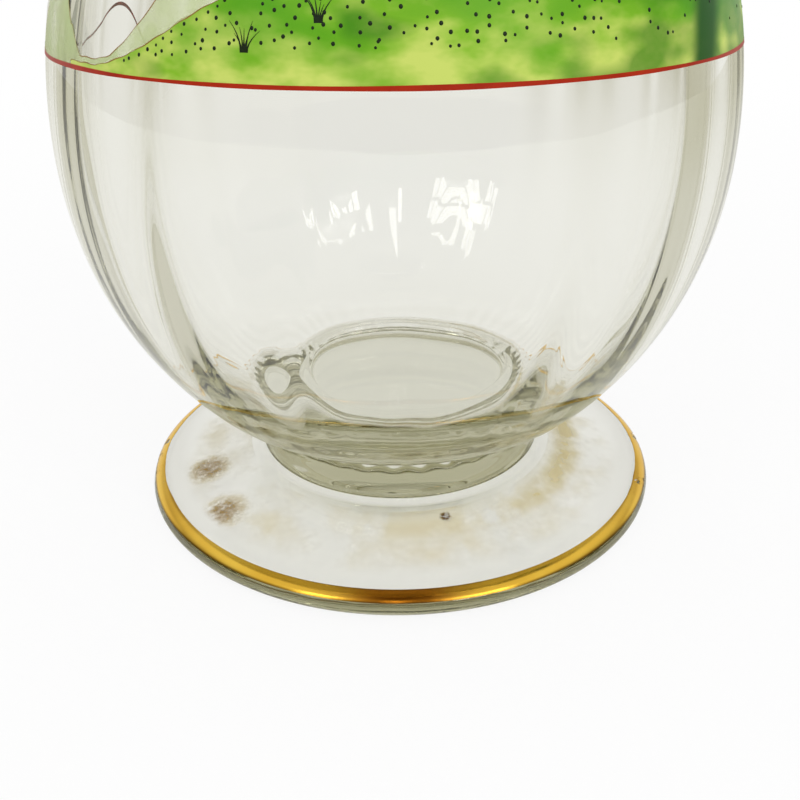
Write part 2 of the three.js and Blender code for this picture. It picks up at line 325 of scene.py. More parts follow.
def foot_outline():
    """From the centre of the underside round the bead to the crown under the collar."""
    rest_inside = rest_radius - rest_width
    under = [point(0, hollow_height)]
    for r in np.linspace(4, rest_inside, 26):
        hollow = hollow_height * fade(r, rest_inside, rest_inside - hollow_run)
        wave = foot_spoke * fade(r, spokes_from, spokes_full) * fade(r, rest_inside, spokes_until)
        under.append(point(r, hollow, spoke_share=wave))
    undercut = curve([(rest_radius, 0), (rest_radius + 2, 0), (foot_radius - 0.1, 0.9),
                      (foot_radius, bead_radius)], 14)
    bead = undercut + arc(bead_centre, bead_radius, bead_radius, 6, 86, 16)
    start, top = bead[-1][0] - 0.6, []
    for share in np.linspace(0, 1, 34):
        r = start + (crown_radius - start) * share
        wave = foot_spoke * sin(pi * share ** 1.3) ** 2
        top.append(point(r, foot_top(share), spoke_share=wave))
    return under + bead + top


def collar_outline():
    """From the crease on the foot up the nearly straight side to the crease under the bowl."""
    tip = collar_radius - crease_depth
    into = curve([(crown_radius - 0.3, crown_height + 0.02), (collar_radius, crown_height + 0.08),
                  (tip + 0.6, collar_base - crease_gap), (tip, collar_base - crease_gap)], 8)
    round_low = curve([(tip, collar_base), (collar_radius + 0.3, collar_base),
                       (collar_radius + 0.7, collar_base + 0.15), (collar_radius + 0.5, collar_base + 1)], 8)
    side = curve([(collar_radius + 0.5, collar_base + 1), (collar_radius + 0.4, collar_base + 2.2),
                  (collar_radius + 0.1, collar_top - 2), (collar_radius, collar_top - 1)], 10)
    rounding = curve([(collar_radius, collar_top - 1), (collar_radius - 0.05, collar_top - 0.3),
                      (collar_radius - 0.6, collar_top), (tip, collar_top)], 8)
    round_high = [point(r, z, spoke_share=crease_wave * fade(z, collar_top - 1.2, collar_top))
                  for r, z, *_ in rounding]
    return into + round_low + side[1:] + round_high[1:]


print("foot outline points:", len(foot_outline()), "collar:", len(collar_outline()))

# %% [markdown]
# The bowl's outline goes from the crease over the belly to the shoulder, up the hollow of the neck,
# over the lip, down the ground seat and back along the inside to the sunk disc in the bottom. The
# wall is thin at the belly and thick at the heel, where the glass was gathered, and that thick ring
# is what shows grey in the picture.

# %% Outline of the vessel
def neck_curves(inset, start):
    """Four points each for the hollow curve and for the flare up to the lip."""
    slope, reach = bowl_slope(shoulder_angle), shoulder_sweep * 0.45
    waist = (neck_radius - inset, neck_waist)
    hollow = [start, (start[0] + slope.x * reach, start[1] + slope.y * reach),
              (waist[0], neck_waist - reach), waist]
    flare = [waist, (waist[0], neck_waist + neck_height / 2),
             (neck_radius + neck_spread, lip_height - flare_height),
             (lip_centre, lip_height - lip_edge * 2)]
    return hollow, flare


def vessel_outside():
    """From the crease under the bowl to just below the lip."""
    heel_pull = 4.4
    hollow, flare = neck_curves(0, bowl_point(shoulder_angle))
    belly = []
    for t in np.linspace(heel_start, shoulder_angle, 72):
        r, z = bowl_point(t)
        rib = outer_rib * fade(z, *outer_ribs_grow)
        belly.append(point(r, z, rib, flute_share=faint_flute * fade(z, *faint_flutes_fade)))
    r, z = belly[0][:2]
    tip = collar_radius - crease_depth
    edge = (heel_edge_radius, heel_edge_height)
    tuck = curve([(tip, collar_top + crease_gap), (tip + 0.9, collar_top + 1),
                  (edge[0] - 1.2, edge[1] - 0.5), edge], 8)
    along = bowl_slope(heel_start) * -heel_pull
    under = curve([edge, (edge[0] + 2.6, edge[1] + 0.8), (r + along.x, z + along.y), (r, z)], 20)
    heel = [point(r, z, spoke_share=-crease_wave * fade(z, heel_height, collar_top),
                  flute_share=heel_flute * fade(z, *flutes_fade) * fade(z, collar_top, heel_height) +
                  faint_flute * fade(z, heel_height, 22)) for r, z, *_ in tuck[:-1] + under[:-1]]
    neck = curve(hollow, 24, outer_rib)[1:] + curve(flare, 30, outer_rib, 0)[1:-1]
    return heel + belly + neck


def mouth_outline():
    """Over the lip, down the ground seat and out to the neck's inside."""
    seat_top = lip_height - lip_drop
    seat_bottom = seat_top - seat_length
    inner_neck = neck_radius - wall
    lip = arc(lip_centre, lip_height - lip_edge, lip_edge, -90, 90, 16)
    mouth = curve([(lip_centre, lip_height), (mouth_radius + 4, lip_height - lip_drop * 0.5),
                   (mouth_radius + 1, seat_top + 0.7), (mouth_radius, seat_top)], 10)[1:]
    seat = [point(mouth_radius - seat_taper * d, seat_top - d) for d in np.linspace(2, seat_length, 8)]
    narrow = seat[-1][0]
    relief = curve([(narrow, seat_bottom), (narrow, seat_bottom - seat_relief * 0.5),
                    (inner_neck, seat_bottom - seat_relief * 0.5), (inner_neck, seat_bottom - seat_relief)],
                   8, 0, -inner_rib)[1:]
    return lip + mouth + seat + relief


def vessel_inside():
    """Down the inside of neck, shoulder and belly to the sunk disc. The ribs run out near the heel."""
    hollow = neck_curves(wall, bowl_inside(shoulder_angle))[0]
    neck = list(reversed(curve(hollow, 24, -inner_rib)))
    belly = []
    for t in np.linspace(shoulder_angle, foot_angle, 72)[1:]:
        r, z = bowl_inside(t)
        belly.append(point(r, z, -inner_rib * fade(z, *inner_ribs_grow)))
    heel_r, heel_z = belly[-1][:2]
    floor = bowl_base + floor_thickness
    well = curve([(heel_r, heel_z), (heel_r - 2.5, heel_z - 1.2), (well_radius + well_slope, floor + 1.6),
                  (well_radius, floor + 0.6)], 10)[1:]
    dish = curve([(well_radius, floor + 0.6), (well_radius - well_slope, floor),
                  (well_radius * 0.5, floor + 0.3), (2, floor + 0.5)], 12)[1:]
    return neck + belly + well + dish + [point(0, floor + 0.5)]


glass_outline = foot_outline() + collar_outline() + vessel_outside() + mouth_outline() + vessel_inside()
glass_body = turned("glass_body", glass_outline)
print("glass body faces:", len(glass_body.data.polygons))

# %% [markdown]
# The glass is soda-lime, melted in a pot with a trace of iron that was balanced with manganese, so
# thick parts look olive grey and thin parts nearly clear. Its refractive index is about 1.52. The
# surfaces are fire polished, which means perfectly smooth, and the tint belongs in the volume: the
# longer the path through the glass, the stronger it shows. Ten millimetres take about a fifteenth of
# the light, and more of the blue.

# %% Soda-lime glass, fire polished and ground
refraction, olive_tint, tint_density = 1.52, (0.48, 0.47, 0.16, 1), 13.0


def soda_lime_body(tree, **finish):
    """Clear glass with an olive tint in its volume. The finish is the roughness and the ripples."""
    surface = add(tree, "BsdfPrincipled", Base_Color=(1, 1, 1, 1), IOR=refraction, Transmission_Weight=1.0,
                  **finish)
    tint = add(tree, "VolumeAbsorption", Color=olive_tint, Density=tint_density)
    add(tree, "OutputMaterial", Surface=surface, Volume=tint)


glass, tree, place = new_material("soda_lime_glass_fire_polished")
ripple = add(tree, "TexNoise", Vector=place, Scale=cells(18.182), Detail=1.0, Roughness=0.4)
bump = add(tree, "Bump", Height=ripple, Strength=0.25, Distance=0.6 * MM)
soda_lime_body(tree, Roughness=0.0, Normal=bump)

ground_glass, tree, place = new_material("soda_lime_glass_ground_matt")
grit = add(tree, "TexNoise", Vector=place, Scale=cells(0.4), Detail=2.0)
soda_lime_body(tree, Roughness=add(tree, "MapRange", Value=grit, To_Min=0.35, To_Max=0.6))


def dress_glass(made, ground_from, ground_to, reach):
    """Gives a glass mesh both finishes: ground between two heights within a radius of the axis."""
    made.data.materials.append(glass)
    made.data.materials.append(ground_glass)
    ground = 0
    for face in made.data.polygons:
        x, y, z = face.center / MM
        if ground_from < z < ground_to and hypot(x, y) < reach:
            face.material_index = 1
            ground += 1
    return ground


seat_top = lip_height - lip_drop
ground_faces = dress_glass(glass_body, seat_top - seat_length, seat_top, mouth_radius + 0.2)
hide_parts("foot", "collar", "vessel")
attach(glass_body, "decanter")
print("ground faces in the neck:", ground_faces)

# %% [markdown]
# Gilding is powdered gold in oil, brushed on, fired and burnished with a stone, so it is smooth and
# bright. It lies on the glass as a film. On a foot it wears away first at the sides, where the piece
# is handled, and there glass shows through it in small patches. Painted dark reflection makes it
# browner in a strip down the middle, in front and behind, and painted shade darkens the lower edge
# of the foot's gold. One material does all this from the place on the decanter, and ends the gold on
# the foot at an edge that wanders a little.

# %% Fired gold, burnished
def from_axis(tree, place):
    """A place pressed flat onto the table, and its distance from the decanter's axis."""
    flat = add(tree, "VectorMath", times, _0=place, _1=(1, 1, 0))
    return flat, add(tree, "VectorMath", {"operation": "LENGTH"}, _0=flat)


gold, tree, place = new_material("fired_gold_burnished")
axes = add(tree, "SeparateXYZ", Vector=place)
side = add(tree, "Math", size_only, _0=axes.outputs["X"])
cloud = add(tree, "TexNoise", Vector=place, Scale=cells(11.111), Detail=3.0)
fine = add(tree, "TexNoise", Vector=place, Scale=cells(1.1111), Detail=3.0)
hue = add(tree, "Mix", colours, _0=cloud, _6=linear("C8921E"), _7=linear("F2CE56"))
# Painted dark reflection: the gold turns browner in a strip along the front-to-back middle.
painted_dark_middle = add(tree, "MapRange", smooth, Value=side, From_Min=14 * MM, From_Max=3 * MM)
hue_with_painted_dark = add(tree, "Mix", colours, _0=painted_dark_middle, _6=hue, _7=linear("A5691A"))
# Painted shade: dark brown along the lower edge of the foot's gold, below 3.3 to 3.7 mm.
above_painted_dark_edge = add(tree, "MapRange", Value=axes.outputs["Z"], From_Min=3.3 * MM, From_Max=3.7 * MM)
colour = add(tree, "Mix", colours, _0=above_painted_dark_edge, _6=linear("3C2004"), _7=hue_with_painted_dark)
polish = add(tree, "MapRange", Value=cloud, To_Min=0.12, To_Max=0.28)
bump = add(tree, "Bump", Height=fine, Strength=0.08, Distance=0.1 * MM)
metal = add(tree, "BsdfPrincipled", Base_Color=colour, Metallic=1.0, Roughness=polish, Normal=bump)
print("gold's first nodes:", len(tree.nodes))

# %% Where the gold is worn off or was never painted
gilt_edge_side, gilt_edge_front, edge_wander = 42.6 * MM, 41.3 * MM, 0.4 * MM
handled = add(tree, "MapRange", Value=side, From_Min=34 * MM, From_Max=45 * MM, To_Max=0.26)
worn = add(tree, "TexNoise", Vector=place, Scale=cells(3.8462), Detail=5.0, Roughness=0.65)
worn = add(tree, "Math", plus, _0=worn, _1=handled)
worn = add(tree, "MapRange", Value=worn, From_Min=0.78, From_Max=0.84)
flat, radius = from_axis(tree, place)
to_front = add(tree, "MapRange", Value=axes.outputs["Y"], From_Min=0.0, From_Max=-44 * MM,
               To_Min=gilt_edge_side, To_Max=gilt_edge_front)
wander = add(tree, "MapRange", Value=cloud, To_Min=-edge_wander, To_Max=edge_wander)
inner_edge = add(tree, "Math", plus, _0=to_front, _1=wander)
inside_edge = add(tree, "Math", {"operation": "LESS_THAN"}, _0=radius, _1=inner_edge)
on_foot = add(tree, "Math", {"operation": "LESS_THAN"}, _0=axes.outputs["Z"], _1=20 * MM)
unpainted = add(tree, "Math", times, _0=inside_edge, _1=on_foot)
gone = add(tree, "Math", larger, _0=worn, _1=unpainted)
mixed = add(tree, "MixShader", _0=gone, _1=metal, _2=add(tree, "BsdfTransparent"))
add(tree, "OutputMaterial", Surface=mixed)
print("gold's nodes:", len(tree.nodes))

# %% Gilt edges of foot and lip
foot_gilt_from, foot_gilt_to = 36, 100
lip_gilt_from, lip_gilt_to = -60, 90
gilt_gap, gilt_top = 0.02, 0.08


def edge_film(name, r, z, radius, start, end, steps, rib=0.0):
    """A closed thin film over part of a round edge."""
    outer = arc(r, z, radius + gilt_top, start, end, steps, rib)
    inner = arc(r, z, radius + gilt_gap, start, end, steps, rib)
    return turned(name, outer + inner[::-1], closed=True)


foot_gold = edge_film("foot_gilding_film", bead_centre, bead_radius, bead_radius, foot_gilt_from,
                      foot_gilt_to, 16)
lip_gold = edge_film("lip_gilding_film", lip_centre, lip_height - lip_edge, lip_edge, lip_gilt_from,
                     lip_gilt_to, 14)
for film, node in ((foot_gold, "foot_gilding"), (lip_gold, "lip_gilding")):
    film.data.materials.append(gold)
    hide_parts(node)
    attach(film, "decanter")
print("gilding on the foot in degrees of the bead:", foot_gilt_from, "to", foot_gilt_to)

# %% [markdown]
# The foot's upper face once carried more gilding. What is left is a stain: a faint yellow ring about
# two thirds out, brown smudges near the left side where the gold rubbed off last, a small dark
# speck in front, and a pale haze between them. It is modelled as a film so thin that it shows only
# as a stain, mostly see-through, and it fades out before the bead.

# %% Worn gilding on the foot
ring_radius, ring_reach, ring_strength = 30.2 * MM, 4.2 * MM, 0.48
stain, tree, place = new_material("gold_residue_rubbed")
flat, radius = from_axis(tree, place)
blotch = add(tree, "TexNoise", Vector=place, Scale=cells(9.0909), Detail=4.0, Roughness=0.6)
hair = add(tree, "TexNoise", Vector=place, Scale=cells(1.42857), Detail=4.0, Roughness=0.7)
grain = add(tree, "TexNoise", Vector=place, Scale=cells(0.454545), Detail=2.0)


def away_from(x, y):
    """How far a place on the foot is from a spot that is given in millimetres."""
    return add(tree, "VectorMath", {"operation": "DISTANCE"}, _0=flat, _1=(x * MM, y * MM, 0))


off_ring = add(tree, "Math", minus, _0=radius, _1=ring_radius)
off_ring = add(tree, "Math", size_only, _0=off_ring)
on_ring = add(tree, "MapRange", smooth, Value=off_ring, From_Max=ring_reach, To_Min=1.0, To_Max=0.0)
axes = add(tree, "SeparateXYZ", Vector=place)
to_right = add(tree, "MapRange", Value=axes.outputs["X"], From_Min=-20 * MM, From_Max=30 * MM, To_Min=0.25)
patchy = add(tree, "MapRange", Value=blotch, From_Min=0.38, From_Max=0.6)
yellow = add(tree, "Math", times, _0=on_ring, _1=to_right)
yellow = add(tree, "Math", times, _0=yellow, _1=patchy)
yellow = add(tree, "Math", times, _0=yellow, _1=ring_strength)
nearest = add(tree, "Math", smaller, _0=away_from(-33.5, -9.8), _1=away_from(-29.0, -22.5))
smudge = add(tree, "MapRange", smooth, Value=nearest, From_Min=MM, From_Max=5.5 * MM, To_Min=1.0, To_Max=0.0)
rubbed = add(tree, "MapRange", Value=hair, From_Min=0.30, From_Max=0.62)
brown = add(tree, "Math", times, _0=smudge, _1=rubbed)
film_end = add(tree, "MapRange", smooth, Value=radius, From_Min=39.6 * MM, From_Max=37 * MM, To_Max=0.75)
brown = add(tree, "Math", times, _0=brown, _1=film_end)
near_speck = add(tree, "MapRange", smooth, Value=away_from(7.0, -27.6), From_Min=0.4 * MM,
                 From_Max=1.3 * MM, To_Min=1.0, To_Max=0.0)
speckled = add(tree, "MapRange", Value=grain, From_Min=0.45, From_Max=0.55)
speck = add(tree, "Math", times, _0=near_speck, _1=speckled)
haze = add(tree, "MapRange", Value=blotch, From_Min=0.42, From_Max=0.7, To_Max=0.2)
inwards = add(tree, "MapRange", smooth, Value=radius, From_Min=39.5 * MM, From_Max=35 * MM)
cover = add(tree, "Math", times, _0=haze, _1=inwards)
for share in (speck, brown, yellow):
    cover = add(tree, "Math", larger, _0=share, _1=cover)
colour = add(tree, "Mix", colours, _0=smudge, _6=linear("E0CE84"), _7=linear("A4843E"))
colour = add(tree, "Mix", colours, _0=near_speck, _6=colour, _7=linear("62452A"))
powder = add(tree, "BsdfDiffuse", Color=colour, Roughness=0.5)
mixed = add(tree, "MixShader", _0=cover, _1=add(tree, "BsdfTransparent"), _2=powder)
add(tree, "OutputMaterial", Surface=mixed)
print("stain's nodes:", len(tree.nodes))

# %% Film of the stain
first_point, last_point, film_lifts = -30, -3, (0.05, 0.02)
foot_face = foot_outline()[first_point:last_point]
upper, lower = ([point(r, z + lift, spoke_share=wave) for r, z, _, wave, _ in foot_face]
                for lift in film_lifts)
residue = turned("foot_gilding_residue", upper + lower[::-1], closed=True)
residue.data.materials.append(stain)
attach(residue, "decanter")
print("stain from radius", round(foot_face[0][0], 1), "to", round(foot_face[-1][0], 1), "mm")

# %% [markdown]
# The painted band is coloured powdered glass in oil, brushed on and fired until it melted flat. All
# of it lies on the bowl's skin, so one function gives the skin at an azimuth and a height, with the
# same ribs and unevenness as the glass below. A field of paint is a thin closed film on that skin,
# and a stroke is a narrow ribbon of paint along a line.

# %% Paint on the bowl's skin
line_height, line_width = equator + 13.9, 0.48
paint_gap, paint_thickness = 0.02, 0.04
mm_per_degree = 0.85


def on_skin(azimuth, z, lift):
    """A point on the bowl's outside, lifted off it. The azimuth is in degrees."""
    half = lower_height if z < equator else upper_height
    a = radians(azimuth)
    r = bowl_radius * sqrt(1 - ((z - equator) / half) ** 2)
    r += outer_rib * ridge(a, z) + unevenness(a, r, z) + lift
    return r * sin(a), -r * cos(a), z


def painted_field(name, start, end, low, high, rows, columns, thickness=paint_thickness):
    """A field of paint between two azimuths and two edges, each edge a function of the azimuth."""
    vertices = []
    for lift in (paint_gap, paint_gap + thickness):
        for azimuth in np.linspace(start, end, columns + 1):
            base, top = low(azimuth), high(azimuth)
            vertices += [on_skin(azimuth, base + (top - base) * k / rows, lift) for k in range(rows + 1)]
    back = (columns + 1) * (rows + 1)
    faces = []
    for c in range(columns):
        here, there = c * (rows + 1), (c + 1) * (rows + 1)
        for k in range(rows):
            faces.append((back + here + k, back + there + k, back + there + k + 1, back + here + k + 1))
            faces.append((here + k, here + k + 1, there + k + 1, there + k))
        faces.append((here, there, back + there, back + here))
        faces.append((back + here + rows, back + there + rows, there + rows, here + rows))
    last = columns * (rows + 1)
    for k in range(rows):
        faces.append((k, back + k, back + k + 1, k + 1))
        faces.append((back + last + k, last + k, last + k + 1, back + last + k + 1))
    return mesh_object(name, vertices, faces)


def painted_strokes(name, strokes, lift):
    """Ribbons of paint. Each stroke is a list of (azimuth, height, width) along its middle."""
    vertices, faces = [], []
    for stroke in strokes:
        first = len(vertices)
        for i, (azimuth, z, width) in enumerate(stroke):
            before, after = stroke[max(i - 1, 0)], stroke[min(i + 1, len(stroke) - 1)]
            along = Vector(((after[0] - before[0]) * mm_per_degree, after[1] - before[1])).normalized()
            for side in (-0.5, 0.5):
                shift = -along.y * width * side / mm_per_degree
                vertices.append(on_skin(azimuth + shift, z + along.x * width * side, lift))
        for i in range(len(stroke) - 1):
            k = first + 2 * i
            faces.append((k, k + 2, k + 3, k + 1))
    return mesh_object(name, vertices, faces)


print("one degree on the bowl in mm:", round(radians(1) * bowl_radius, 2))

# %% [markdown]
# The red line closes the band below. It was drawn with a fine brush on a turning wheel, so it is
# level, and its width swells and thins a little where the brush was loaded again. Fired enamel is
# opaque and only half glossy. Two tones that run into each other in small patches show its streaks.

# %% The red line
def streaky_enamel(name, patch, first_tone, second_tone, detail=2.0, gloss=0.2, cover=None):
    """A fired enamel of two tones in patches of a size in millimetres. Cover is its least and most."""
    material, tree, place = new_material(name)
    streak = add(tree, "TexNoise", Vector=place, Scale=cells(patch), Detail=detail)
    hue = add(tree, "Mix", colours, _0=streak, _6=linear(first_tone), _7=linear(second_tone))
    coat = add(tree, "BsdfPrincipled", Base_Color=hue, Roughness=0.4, Specular_IOR_Level=gloss)
    if cover:
        share = add(tree, "MapRange", Value=streak, From_Min=0.35, From_Max=0.65, To_Min=cover[0],
                    To_Max=cover[1])
        coat = add(tree, "MixShader", _0=share, _1=add(tree, "BsdfTransparent"), _2=coat)
    add(tree, "OutputMaterial", Surface=coat)
    return material


red = streaky_enamel("red_enamel_fired", 3.8462, "860E00", "AC2C04", detail=3.0, gloss=0.15)


def line_edge(side):
    """The line's lower or upper edge as a function of the azimuth in degrees."""
    def edge(azimuth):
        a = radians(azimuth)
        half_width = line_width / 2 * (1 + 0.16 * sin(5 * a + 1) + 0.1 * sin(13 * a))
        return line_height + side * half_width
    return edge


red_line = painted_field("red_line_enamel", -180, 180, line_edge(-1), line_edge(1), 2, turn_steps,
                         paint_thickness * 1.6)
red_line.data.materials.append(red)
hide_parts("red_line")
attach(red_line, "decanter")
print("line is", line_width, "mm wide at", round(line_height, 1), "mm")

# %% [markdown]
# The meadow runs out to a point on the left of the front and goes round past the right side. Pale
# hills stand left of it and behind its upper edge. The edges follow the drawing's own curves.

# %% Fields of the meadow and the hills
meadow_base = line_height + line_width / 2 - 0.1
meadow_from, meadow_to = -52, 134
meadow_height, meadow_rise, meadow_fall = 17, 64, 44
thinnest_field = 0.6
hill_from, hill_to = -76, 74
hill_shapes = ((-60, 13, 12), (-14, 32, 10), (44, 30, 7))


def meadow_low(azimuth):
    return meadow_base


def meadow_top(azimuth):
    rise = fade(azimuth, meadow_from, meadow_from + meadow_rise)
    fall = 1 - fade(azimuth, meadow_to - meadow_fall, meadow_to)
    roll = 1 + 0.1 * sin(azimuth / 5.625)
    return meadow_base + max(meadow_height * min(rise, fall) * roll, thinnest_field)


def hill_low(azimuth):
    return meadow_base if azimuth < meadow_from else meadow_top(azimuth) + 0.05


def hill_top(azimuth):
    heights = [thinnest_field]
    for centre, reach, height in hill_shapes:
        away = min(abs(azimuth - centre) / reach, 1)
        heights.append(height * (0.5 + 0.5 * cos(pi * away)))
    return hill_low(azimuth) + max(heights)


meadow = painted_field("meadow_enamel_wash", meadow_from, meadow_to, meadow_low, meadow_top, 24, 400)
hills = painted_field("hill_enamel_wash", hill_from, hill_to, hill_low, hill_top, 12, 300)
print("meadow is up to", round(meadow_top(40) - meadow_base, 1), "mm high")

# %% [markdown]
# The meadow's green was dabbed on in thin washes of three enamels: a pale yellow green that lets the
# light through near the line, a leaf green above it, and deep green dabs. Painted shade darkens the
# green towards the right, and a band of painted shade stands upright near the right edge. Noise of
# three sizes, stretched sideways, gives the dabs. The hills are a single wash, so thin in places that
# the glass shows through.

# %% Green enamels
# Painted shade: the green is darkest in an upright band at shade_band, right of the axis.
shade_band, band_core, band_reach = 36.6 * MM, 0.8 * MM, 3 * MM
green, tree, place = new_material("green_enamel_washes")
axes = add(tree, "SeparateXYZ", Vector=place)
sideways = add(tree, "Mapping", Vector=place, Scale=(1, 1, 1.8))
wash = add(tree, "TexNoise", Vector=sideways, Scale=cells(5.88235), Detail=3.0, Roughness=0.55)
dab = add(tree, "TexNoise", Vector=sideways, Scale=cells(11.7647), Detail=2.0)
shade = add(tree, "TexNoise", Vector=sideways, Scale=cells(8.33333), Detail=1.0)
height = add(tree, "MapRange", Value=axes.outputs["Z"], From_Min=76 * MM, From_Max=84 * MM, To_Min=-0.1,
             To_Max=0.2)
leafy = add(tree, "Math", plus, _0=wash, _1=height)
leafy = add(tree, "MapRange", Value=leafy, From_Min=0.34, From_Max=0.66)
dabbed = add(tree, "Math", plus, _0=dab, _1=height)
dabbed = add(tree, "MapRange", Value=dabbed, From_Min=0.45, From_Max=0.78)
# Painted shade: the deep green grows towards the right side of the bowl, added to the random dabs.
to_right = add(tree, "MapRange", Value=axes.outputs["X"], From_Min=10 * MM, From_Max=45 * MM,
               To_Min=0.02, To_Max=0.36)
deep_dabs_and_painted_shade = add(tree, "Math", plus, _0=shade, _1=to_right)
deep_dabs_and_painted_shade = add(tree, "MapRange", Value=deep_dabs_and_painted_shade, From_Min=0.60, From_Max=0.80, To_Max=0.7)
# Painted shade in one dark upright band.
off_band = add(tree, "Math", minus, _0=axes.outputs["X"], _1=shade_band)
off_band = add(tree, "Math", size_only, _0=off_band)
in_painted_shade_band = add(tree, "MapRange", smooth, Value=off_band, From_Min=band_core, From_Max=band_reach,
              To_Min=0.95, To_Max=0.0)
tone = linear("BCCB62")
for share, colour in ((leafy, "7CAE24"), (dabbed, "4A9408"), (deep_dabs_and_painted_shade, "2C7206"), (in_painted_shade_band, "0C4A02")):
    tone = add(tree, "Mix", colours, _0=share, _6=tone, _7=linear(colour))
coat = add(tree, "BsdfPrincipled", Base_Color=tone, Roughness=0.4, Specular_IOR_Level=0.15)
add(tree, "OutputMaterial", Surface=coat)

pale = streaky_enamel("pale_green_enamel_wash", 6.66667, "D3D9AE", "A9BC78", detail=3.0, gloss=0.15,
                      cover=(0.35, 0.8))
for field, node, finish, slot in ((meadow, "meadow_enamel", green, "green_enamel"),
                                  (hills, "hill_enamel", pale, "pale_green_enamel")):
    field.data.materials.append(finish)
    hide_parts(node)
    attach(field, "decanter")
print("enamels:", green.name, pale.name)

# %% [markdown]
# Over the washes come the last touches, in a dark enamel that stands up a little: a thin brown
# outline along the meadow and the hills, tufts of grass, and rows of small raised dots that follow
# the slope, close together on the left and sparse on the right.

# %% Dots, outlines and tufts
dark = streaky_enamel("dark_green_enamel_raised", 1.1111, "081004", "182C0A")
brown = streaky_enamel("brown_enamel_pen_line", 2.0, "6E4A1E", "9A7838")
dot_rows, dot_radius, dot_height, dot_spacing = 14, 0.22, 0.07, 1.35
dot_step, row_step = dot_spacing / 0.86, 0.95
blades_in_tuft, blade_steps = 7, 6
paint_top = paint_gap + paint_thickness
random = np.random.default_rng(11)


def dot_places():
    """Azimuths and heights of the dots: uneven rows that follow the meadow's upper edge."""
    places = []
    for row in range(dot_rows):
        for azimuth in np.arange(meadow_from + 1, meadow_to - 6, dot_step):
            top = meadow_top(azimuth)
            z = top - 0.5 - row * dot_spacing * row_step + random.normal(0, 0.22)
            lowest = meadow_base + 0.9 + 2.6 * fade(azimuth, meadow_from + 8, meadow_from + 36)
            chance = 0.9 - 0.5 * fade(azimuth, 5, 45) - 0.15 * fade(row, 2, 10)
            if lowest < z < top - 0.3 and random.random() < chance:
                places.append((azimuth + random.normal(0, 0.35), z))
    return places


def raised_dots(name, places):
    """Low round domes of enamel that stand on the washes."""
    vertices, faces = [], []
    rings = ((1.0, 0.0), (0.75, 0.7), (0.35, 0.97))
    sides = 10
    for azimuth, z in places:
        first = len(vertices)
        size = dot_radius * random.uniform(0.75, 1.15)
        for share, rise in rings:
            for k in range(sides):
                a = 2 * pi * k / sides
                across = degrees(size * share * cos(a) / bowl_radius)
                vertices.append(on_skin(azimuth + across, z + size * share * sin(a),
                                        paint_top - 0.01 + dot_height * rise))
        for ring in range(len(rings) - 1):
            low = first + ring * sides
            for k in range(sides):
                n = (k + 1) % sides
                faces.append((low + k, low + n, low + sides + n, low + sides + k))
        faces.append(tuple(range(first + 2 * sides, first + 3 * sides)))
    return mesh_object(name, vertices, faces, smooth_angle=80)


def edge_stroke(edge, start, end):
    """A pen line along an edge, a little uneven in height and width."""
    return [(a, edge(a) + 0.05 * sin(a * 1.7), 0.09 + 0.03 * sin(a * 0.9))
            for a in np.arange(start, end, 0.5)]


def grass_tufts(count):
    """Tufts of a few curved blades at places along the meadow's upper part."""
    blades, margin = [], 30
    first, span = meadow_from + margin, meadow_to - meadow_from - 2 * margin
    for tuft in range(count):
        azimuth = first + span * (tuft + random.uniform(0.2, 0.8)) / count
        root = meadow_top(azimuth) - random.uniform(3.5, 7.5)
        for blade in range(blades_in_tuft):
            aside = blade - blades_in_tuft // 2
            lean = aside * 0.55 + random.normal(0, 0.15)
            length = random.uniform(1.6, 3.2)
            blades.append([(azimuth + aside * 0.14 + lean * t * t, root + length * t,
                            0.2 * (1 - t) + 0.03) for t in np.linspace(0, 1, blade_steps)])
    return blades


dots = raised_dots("meadow_dots", dot_places())
outlines = painted_strokes("meadow_outlines", [
    edge_stroke(meadow_top, meadow_from, meadow_to - 1),
    edge_stroke(hill_top, hill_from, hill_to - 1),
], paint_top + 0.02)
tufts = painted_strokes("grass_tufts", grass_tufts(13), paint_top + 0.025)
for paint, finish, slot in ((dots, dark, "green_enamel"), (tufts, dark, "green_enamel"),
                            (outlines, brown, "pale_green_enamel")):
    paint.data.materials.append(finish)
    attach(paint, "decanter")
print("faces in the dots:", len(dots.data.polygons))

# %% [markdown]
# The stopper is a solid ball with a small knob, pressed with the same soft ribs. Its shoulder rests
# on the mouth, and its peg is tapered and ground matt with the neck, so it seals. A gilt line goes
# round the ball at its widest place.

# %% The stopper
stopper_clearance, peg_reach, peg_chamfer = 0.3, 28.0, 1.0
ball_radius, ball_rib = 18.85, 0.35
stopper_shoulder_radius, stopper_shoulder_height = 13.6, 2.4
stopper_waist_radius, stopper_waist_height = 8.6, 4.0
knob_radius, knob_sink = 4.0, 37
edge_rounding, stopper_gilt_width = 0.6, 1.6

under = seat_top + lip_drop * 0.5 + stopper_clearance
peg_top = mouth_radius - stopper_clearance
peg_bottom = under - peg_reach
peg_end = peg_top - seat_taper * (seat_top - peg_bottom)
shoulder_top = under + stopper_shoulder_height
waist_top = shoulder_top + stopper_waist_height
ball_centre = waist_top + sqrt(ball_radius ** 2 - stopper_waist_radius ** 2)
waist_angle = -degrees(acos(stopper_waist_radius / ball_radius))
knob_angle = degrees(acos(knob_radius * 0.8 / ball_radius))
knob_centre = ball_centre + ball_radius * sin(radians(knob_angle)) + knob_radius * 0.6


